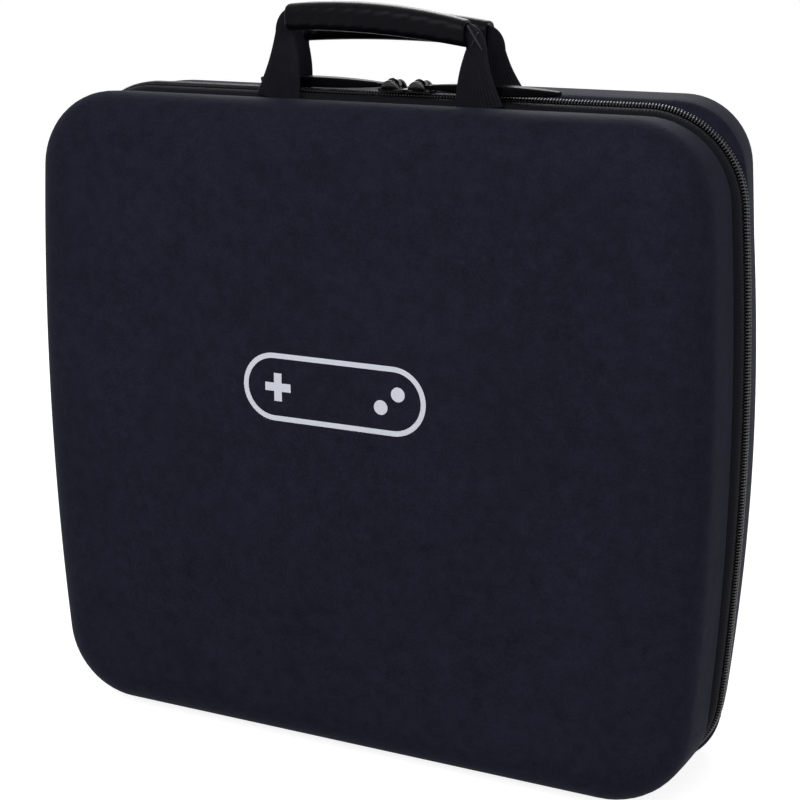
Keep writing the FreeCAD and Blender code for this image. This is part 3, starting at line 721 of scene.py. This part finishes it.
def handle_strap(half):
    """Two webbing legs that narrow as their edges fold and bend into the grip's ends."""
    thickness, ribs, most_curl = 2.2, 13, 2.4
    shape = Shape()
    out = np.array([0.0, half * 1.0, 0.0])
    for hand in (LEFT, RIGHT):
        line, width = strap_line(half, hand)
        way = np.gradient(line, axis=0)
        way /= np.linalg.norm(way, axis=1)[:, None]
        count = len(line)
        middle = np.column_stack([line[:, 0], np.zeros(count), line[:, 1]])
        across = np.column_stack([way[:, 1], np.zeros(count), -way[:, 0]])
        curl = most_curl * np.clip(np.linspace(-0.25, 1.1, count), 0, 1) ** 1.4
        strip = ribbed_strip(middle, width, out, across, thickness, ribs, curl)
        shape.tube(handle_points(half, strip))
        if (half, hand) == (FRONT, RIGHT):
            fold_edges(shape, half)
    name = SIDE[half]
    # The second material is the lighter fold-edge cloth, a painted highlight.
    return welded(shape.make(f"{name}_handle_webbing", [WEBBING, FOLD_EDGE_PAINTED_HIGHLIGHT], BODY[half],
                             [f"{name}_handle_strap"]))


def fold_edges(shape, half):
    """The two crossed edges where the strap's right end is folded over itself before the grip, in a lighter
    cloth that is a painted highlight.
    """
    steps, most_width, end_share, thickness, curl = 12, 1.7, 0.12, 0.8, 0.4
    edges = (((0.2, 3.9), (7.6, -7.2), 1.5), ((5.5, 0.8), (1.6, -6.6), 1.2))
    end = GRIP_END[half, RIGHT]
    level = grip_line(half, end)
    out = np.array([0.0, half * 1.0, 0.0])
    share = np.linspace(0, 1, steps)
    width = most_width * np.sqrt(np.clip(np.sin(share * math.pi), end_share, 1))
    for first, last, lift in edges:
        first, last = (np.array([end + x, half * lift, level + z]) for x, z in (first, last))
        way = (last - first) / np.linalg.norm(last - first)
        side = np.tile([way[2], 0.0, -way[0]], (steps, 1))
        middle = first + (last - first) * share[:, None]
        strip = ribbed_strip(middle, width, out, side, thickness, 1, np.full(steps, curl))
        # These edges take the lighter cloth: painted highlight.
        shape.tube(handle_points(half, strip), SEWN)


def hinge_cloth():
    """The cloth along the bottom that joins the two halves, with a row of stitches near each long edge."""
    tuck, border = 1.5, 4.0
    low, high = node_box("hinge_cloth")
    low[1], high[1] = low[1] - tuck, high[1] + tuck
    shape = Shape()
    slab(shape, low, high, 2, steps=(60, 40))
    for y in (low[1] + border, high[1] - border):
        stitch_row(shape, (low[0] + border, y, low[2]), (high[0] - border, y, low[2]), (0, 0, -1))
    item = welded(shape.make("hinge_strip", [BINDING_CLOTH, THREAD]))
    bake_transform(item)
    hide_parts("hinge_cloth")


def slider_cheeks(side):
    """The two raised walls of a slider, one on each side of its pull."""
    stations, turns = 25, 16
    below_top, half_length, aside, half_thick, end_height, rise = 5.0, 4.6, 4.75, 0.65, 0.5, 3.6
    low, high = node_box(f"{side}_slider")
    middle, deck = (low[0] + high[0]) / 2, high[2] - below_top
    shares = np.linspace(-1, 1, stations)
    heights = end_height + rise * np.clip(1 - np.abs(shares) ** 2.4, 0, 1) ** 0.7
    across, upright = squarish(np.arange(turns) * 2 * math.pi / turns, 0.75)
    shape = Shape()
    for half in (FRONT, REAR):
        rows = np.zeros((stations, turns, 3))
        rows[..., 0] = middle + half_length * shares[:, None]
        rows[..., 1] = ZIP_Y + half * aside + half_thick * across
        rows[..., 2] = deck + heights[:, None] * (0.4 + 0.6 * upright)
        shape.tube(rows)
    welded(shape.make(f"{side}_slider_cheeks", [SLIDER], f"{side}_slider"))


def zip_end(side):
    """The sewn tab that closes one end of the zip under the bag."""
    border, end = 1.6, 1.2
    node = f"{side}_zip_end"
    low, high = node_box(node)
    shape = Shape()
    slab(shape, low, high, 2, steps=(20, 20))
    for x in (low[0] + border, high[0] - border):
        stitch_row(shape, (x, low[1] + end, low[2]), (x, high[1] - end, low[2]), (0, 0, -1),
                   length=1.6, gap=0.5)
    welded(shape.make(f"{side}_zip_stop", [TAPE_CLOTH, THREAD], "base", [node]))


def hold_strap(side):
    """A hold-down strap: a lower and an upper webbing strip, lapped, with sewn boxes at their ends."""
    border, box_height, over_face = 4, 20, 0.1
    for part in ("lower", "upper"):
        node = f"{side}_hold_strap_{part}"
        low, high = node_box(node)
        shape = Shape()
        slab(shape, low, high, 1, steps=(80, 40), ribs=19)
        foot = low[2] + border if part == "lower" else high[2] - border - box_height
        left, right, face, head = low[0] + border, high[0] - border, low[1] - over_face, foot + box_height
        corners = [(left, face, foot), (right, face, foot), (right, face, head), (left, face, head)]
        for here, after in zip(corners, corners[1:] + corners[:1]):
            stitch_row(shape, here, after, (0, -1, 0))
        for here, after in (corners[::2], corners[1::2]):
            stitch_row(shape, here, after, (0, -1, 0))
        item = welded(shape.make(f"{side}_hold_webbing_{part}", [HOLD_CLOTH, THREAD], "base",
                                 [node]))


def net_cells(low, high, y):
    """Points of the net's open hexagons, each by two rings on its near and two on its far side."""
    across, cord, half_thick = 5.0, 0.85, 0.3
    step_x, step_z = across, across * math.sqrt(3) / 2
    radius = across / math.sqrt(3)
    angles = np.radians(np.arange(6) * 60 + 30)
    cells = []
    for row in range(int((high - low)[2] / step_z)):
        for column in range(int((high - low)[0] / step_x) - 1):
            x = low[0] + step_x * (column + 0.5 + 0.5 * (row % 2) + 0.25)
            z = low[2] + step_z * (row + 0.6)
            rings = [np.column_stack([x + r * np.cos(angles), np.full(6, face), z + r * np.sin(angles)])
                     for face in (y - half_thick, y + half_thick) for r in (radius, radius - cord)]
            cells.append(np.vstack(rings))
    return np.array(cells)


def pocket():
    """The net pocket in the lid: open hexagons of cord in a sewn border, under a gathered elastic hem."""
    low, high = node_box("pocket_mesh")
    y = (low[1] + high[1]) / 2
    faces = [(i, (i + 1) % 6, 6 + (i + 1) % 6, 6 + i) for i in range(6)]
    faces += [(12 + i, 18 + i, 18 + (i + 1) % 6, 12 + (i + 1) % 6) for i in range(6)]
    faces += [(6 + i, 6 + (i + 1) % 6, 18 + (i + 1) % 6, 18 + i) for i in range(6)]
    shape = Shape()
    shape.copies(net_cells(low, high, y), faces)
    net = shape.make("pocket_net", [NET_CORD], "lid", ["pocket_mesh"])

    hem_low, hem_high = node_box("pocket_hem")
    hem_height, hem_border, hem_inset, over_hem = 12, 2.5, 3, 0.1
    hem_shape = Shape()

    def gather(x, z):
        return 0.18 * np.sin(x * 0.9) * np.sin((z - hem_low[2]) / hem_height * math.pi)

    slim = np.array([0, 0.2, 0])
    slab(hem_shape, hem_low + slim, hem_high - slim, 1, steps=(320, 14), bend=gather)
    start, end, face = hem_low[0] + hem_inset, hem_high[0] - hem_inset, hem_high[1] - over_hem
    for z in (hem_low[2] + hem_border, hem_high[2] - hem_border):
        stitch_row(hem_shape, (start, face, z), (end, face, z), (0, 1, 0))

    overlap, wide_border, over_border = 1, 6, 0.45
    left, right, foot, head = low[0] - overlap, high[0] + overlap, low[2] - overlap, hem_low[2]
    borders = [(0.5, (left, foot), (left + wide_border, head)),
               (0.5, (right - wide_border, foot), (right, head)),
               (0.6, (left, foot), (right, foot + wide_border))]
    for thick, (near_x, near_z), (far_x, far_z) in borders:
        slab(hem_shape, (near_x, y - thick, near_z), (far_x, y + thick, far_z), 1)
    inset = wide_border / 2
    seams = [((left + inset, foot + 8), (left + inset, head - 2)),
             ((right - inset, foot + 8), (right - inset, head - 2)),
             ((left + inset, foot + inset), (right - inset, foot + inset))]
    for (start_x, start_z), (end_x, end_z) in seams:
        stitch_row(hem_shape, (start_x, y + over_border, start_z), (end_x, y + over_border, end_z), (0, 1, 0))
    hem = welded(hem_shape.make("pocket_elastic", [BINDING_CLOTH, THREAD], "lid", ["pocket_hem"]))


def print_mark():
    """A plain game pad sign in pale ink at the print's place on the front face."""
    ink, ink_over_ink = 0.12, 0.13
    pad_half, pad_inner, pad_outer = 32, 14.4, 17.0
    cross_x, cross_long, cross_thick = -30, 7.0, 2.1
    button_radius, buttons = 3.6, ((25.5, -3.6), (34.5, 3.6))
    shape = Shape()
    centre = np.array([0.0, 195.0])

    def lay(points, lift=ink):
        points = np.asarray(points, float) + centre
        y = DEPTH[FRONT] + crown(points[:, 0], points[:, 1], *shell_face(FRONT)) + lift
        return np.column_stack([points[:, 0], ZIP_Y - y, points[:, 1]])

    def band(inner, outer):
        count = len(inner)
        faces = [(i, (i + 1) % count, count + (i + 1) % count, count + i) for i in range(count)]
        shape.add(np.vstack([lay(inner), lay(outer)]), faces)

    def disc(x, z, radius, sides=24):
        ring = arc_points(x, z, radius, 0, 2 * math.pi, sides + 1)[:-1]
        shape.add(np.vstack([lay(ring), lay([(x, z)])]), [(i, (i + 1) % sides, sides) for i in range(sides)])

    def capsule(half_length, radius):
        angles = np.radians(np.linspace(-90, 90, 25))
        right = np.column_stack([half_length + radius * np.cos(angles), radius * np.sin(angles)])
        left = -right
        runs = np.linspace(0, 1, 20)[1:-1, None]
        top = right[-1] + (left[0] - right[-1]) * runs
        bottom = left[-1] + (right[0] - left[-1]) * runs
        return np.vstack([right, top, left, bottom])

    band(capsule(pad_half, pad_inner), capsule(pad_half, pad_outer))
    for wide, tall, lift in ((cross_long, cross_thick, ink), (cross_thick, cross_long, ink_over_ink)):
        box = [(cross_x + wide * x, tall * z) for x, z in ((-1, -1), (1, -1), (1, 1), (-1, 1))]
        shape.add(lay(box, lift), [(0, 1, 2, 3)])
    for x, z in buttons:
        disc(x, z, button_radius)
    shape.make("front_print", [PRINT], "lid")


def area_light(name, place, target, power, width, height):
    lamp = bpy.data.lights.new(name, "AREA")
    lamp.shape, lamp.size, lamp.size_y, lamp.energy = "RECTANGLE", width, height, power
    item = bpy.data.objects.new(name, lamp)
    bpy.context.scene.collection.objects.link(item)
    item.location = place
    item.rotation_euler = (Vector(target) - Vector(place)).to_track_quat("-Z", "Y").to_euler()


def seen_directly(tree):
    """A socket that is 1 for what the camera, a reflection or clear glass shows, and 0 for other rays."""
    path = tree.nodes.new("ShaderNodeLightPath")
    value = path.outputs["Is Camera Ray"]
    for name in ("Is Glossy Ray", "Is Transmission Ray"):
        larger = tree.nodes.new("ShaderNodeMath")
        larger.operation = "MAXIMUM"
        tree.links.new(value, larger.inputs[0])
        tree.links.new(path.outputs[name], larger.inputs[1])
        value = larger.outputs["Value"]
    return value


def backdrop(scene):
    """A world that looks white and gives little light, and a white floor that keeps the shadow."""
    world = bpy.data.worlds.new("studio")
    scene.world = world
    world.use_nodes = True
    nodes, links = world.node_tree.nodes, world.node_tree.links
    strength = nodes.new("ShaderNodeMapRange")
    links.new(seen_directly(world.node_tree), strength.inputs["Value"])
    strength.inputs["To Min"].default_value = 0.22
    strength.inputs["To Max"].default_value = 1.0
    links.new(strength.outputs["Result"], nodes["Background"].inputs["Strength"])
    nodes["Background"].inputs["Color"].default_value = (1, 1, 1, 1)

    bpy.ops.mesh.primitive_plane_add(size=12, location=(0, 0, -0.0005))
    floor = bpy.context.object
    floor.name = "floor"
    paint = bpy.data.materials.new("floor_paper")
    paint.use_nodes = True
    tree = paint.node_tree
    shader = tree.nodes["Principled BSDF"]
    shader.inputs["Base Color"].default_value = (0.6, 0.6, 0.6, 1)
    shader.inputs["Roughness"].default_value = 0.9
    shader.inputs["Specular IOR Level"].default_value = 0.1
    tree.links.new(seen_directly(tree), shader.inputs["Emission Strength"])
    shader.inputs["Emission Color"].default_value = (0.84, 0.84, 0.84, 1)
    floor.data.materials.append(paint)


def stage():
    """White surroundings, soft light from all round, and the photograph's camera."""
    scene = bpy.context.scene
    scene.view_settings.view_transform = "Standard"
    backdrop(scene)

    # Place and target in metres, power in watts, width and height in metres.
    area_light("key", (-0.1, -1.45, 1.15), (0, 0, 0.25), 13.5, 1.2, 0.9)
    area_light("top", (0.1, -0.1, 1.6), (0, 0, 0.3), 0.4, 1.2, 1.0)
    area_light("right", (1.5, -0.7, 0.9), (0, 0, 0.2), 5, 0.8, 1.2)
    area_light("back", (-0.5, 1.5, 1.2), (0, 0, 0.2), 15, 1.0, 0.8)

    camera = bpy.data.objects.new("camera", bpy.data.cameras.new("camera"))
    scene.collection.objects.link(camera)
    place = (0.38623, -0.78731, 0.42279)
    right, up, back = (0.90066, 0.4345, -0.00373), (-0.11443, 0.24547, 0.96263), (0.41918, -0.86658, 0.27081)
    camera.matrix_world = Matrix.Translation(place) @ Matrix((right, up, back)).transposed().to_4x4()
    camera.data.lens, camera.data.sensor_width = 80.171, 36.0
    scene.camera = camera


for half in (FRONT, REAR):
    shell(half)
    zip_tape(half)
    zip_teeth(half)
    seam_binding(half)
    grip(half)
    handle_strap(half)
hinge_cloth()
for side in ("left", "right"):
    zip_end(side)
    slider_cheeks(side)
    hold_strap(side)
    for part, finish in (("slider", SLIDER), ("pull", PULL)):
        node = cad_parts[f"{side}_{part}"]
        node.data.materials.clear()
        node.data.materials.append(finish)
pocket()
print_mark()

stage()
